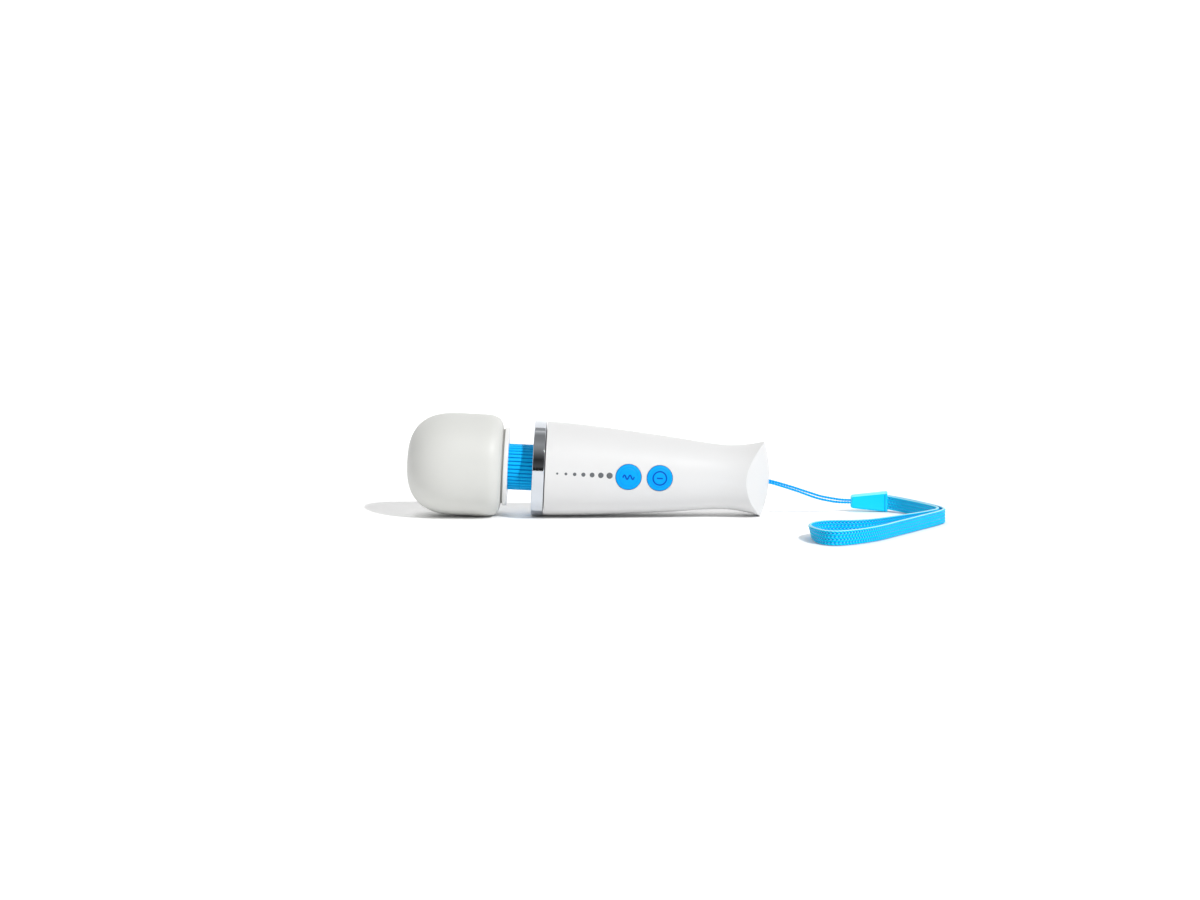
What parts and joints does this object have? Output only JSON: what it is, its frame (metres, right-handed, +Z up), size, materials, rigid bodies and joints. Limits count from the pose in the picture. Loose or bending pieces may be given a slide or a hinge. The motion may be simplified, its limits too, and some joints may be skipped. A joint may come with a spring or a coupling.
{
  "type": "handheld wand massager",
  "caption": "Cordless wand massager with a silicone-capped head on a flexible ribbed neck, a tapered two-shell handle with push buttons, and a braided wrist strap.",
  "frame": {"origin": "centre of the wand's footprint on the table it lies on, z = 0 at the table", "axes": "+X along the wand from the head towards the tail, +Y away from the button face, +Z up; the wand's own axis dips 2.8 degrees towards the tail as it rests on head cap and tail"},
  "size_m": [0.2533, 0.1276, 0.0492],
  "materials": {
    "cap_silicone": "satin light warm grey silicone",
    "white_gloss": "glossy white ABS",
    "flange_white": "glossy white ABS",
    "inner_white": "moulded white ABS",
    "gasket_black": "matt",
    "sleeve_blue": "satin blue silicone",
    "chrome_trim": "mirror bright",
    "button_blue": "satin blue silicone",
    "holder_rubber": "matt",
    "motor_steel": "zinc plated",
    "magnet_ferrite": "sintered ferrite",
    "plastic_black": "moulded black nylon",
    "bush_bronze": "sintered bronze",
    "shaft_steel": "ground",
    "armature_iron": "laminations wound with enamelled wire",
    "commutator_copper": "turned copper",
    "weight_brass": "turned",
    "spring_steel": "drawn wire",
    "wire_red": "PVC insulation",
    "wire_black": "PVC insulation",
    "screw_steel": "zinc plated",
    "cell_wrap": "shrink wrap over a steel can",
    "cradle_grey": "moulded ABS",
    "tab_nickel": "nickel strip",
    "board_green": "solder mask on glass epoxy",
    "chip_black": "moulded epoxy",
    "cord_blue": "braided nylon thread",
    "bead_cyan": "soft glossy PVC",
    "braid_blue": "woven polyester braid"
  },
  "bodies": {
    "handle": {"neck_mount": "inner_white", "trim_ring": "chrome_trim", "front_shell": "white_gloss", "rear_shell": "white_gloss", "shell_screws": "screw_steel", "screw_plugs": "white_gloss", "battery_cell": "cell_wrap", "battery_cradle": "cradle_grey", "battery_tabs": "tab_nickel", "circuit_board": "board_green", "board_chips": "chip_black", "switch_bodies": "plastic_black", "battery_leads": "wire_red", "charge_leads": "wire_black", "charge_jack": "plastic_black", "strap_pin": "screw_steel", "loop_cord_upper": "cord_blue", "loop_cord_lower": "cord_blue", "strap_bead": "bead_cyan", "wrist_strap": "braid_blue"},
    "neck": {"neck_sleeve": "sleeve_blue", "neck_spring": "spring_steel", "motor_lead_red": "wire_red", "motor_lead_black": "wire_black"},
    "head": {"head_cap": "cap_silicone", "head_shell": "inner_white", "head_gasket": "gasket_black", "head_base": "flange_white", "motor_holder": "holder_rubber", "motor_can": "motor_steel", "motor_magnets": "magnet_ferrite", "motor_end_cap": "plastic_black", "motor_bushes": "bush_bronze"},
    "rotor": {"motor_shaft": "shaft_steel", "armature": "armature_iron", "commutator": "commutator_copper", "eccentric_weight": "weight_brass"},
    "mode_button": {"mode_button": "button_blue", "mode_plunger": "plastic_black"},
    "power_button": {"power_button": "button_blue", "power_plunger": "plastic_black"}
  },
  "joints": [
    {"name": "neck_pitch", "type": "hinge", "parent": "handle", "child": "neck", "pos_m": [-0.03186, 0, 0.02326], "axis": [0, 1, 0], "range_deg": [-12, 12], "stiffness_Nm_per_rad": 1.5, "deforming": ["neck_sleeve", "neck_spring", "motor_lead_red", "motor_lead_black"]},
    {"name": "neck_yaw", "type": "hinge", "parent": "neck", "child": "head", "pos_m": [-0.03186, 0, 0.02326], "axis": [0.0488, 0, 0.9988], "range_deg": [-12, 12], "stiffness_Nm_per_rad": 1.5, "deforming": ["neck_sleeve", "neck_spring", "motor_lead_red", "motor_lead_black"]},
    {"name": "rotor_spin", "type": "hinge", "parent": "head", "child": "rotor", "pos_m": [-0.05983, 0, 0.02463], "axis": [0.9988, 0, -0.0488], "continuous": true},
    {"name": "mode_press", "type": "slide", "parent": "handle", "child": "mode_button", "axis": [0, 1, 0], "range_m": [0, 0.0005], "stiffness_N_per_m": 4000, "springref_m": -0.0002},
    {"name": "power_press", "type": "slide", "parent": "handle", "child": "power_button", "axis": [0, 1, 0], "range_m": [0, 0.0005], "stiffness_N_per_m": 4000, "springref_m": -0.0002}
  ]
}
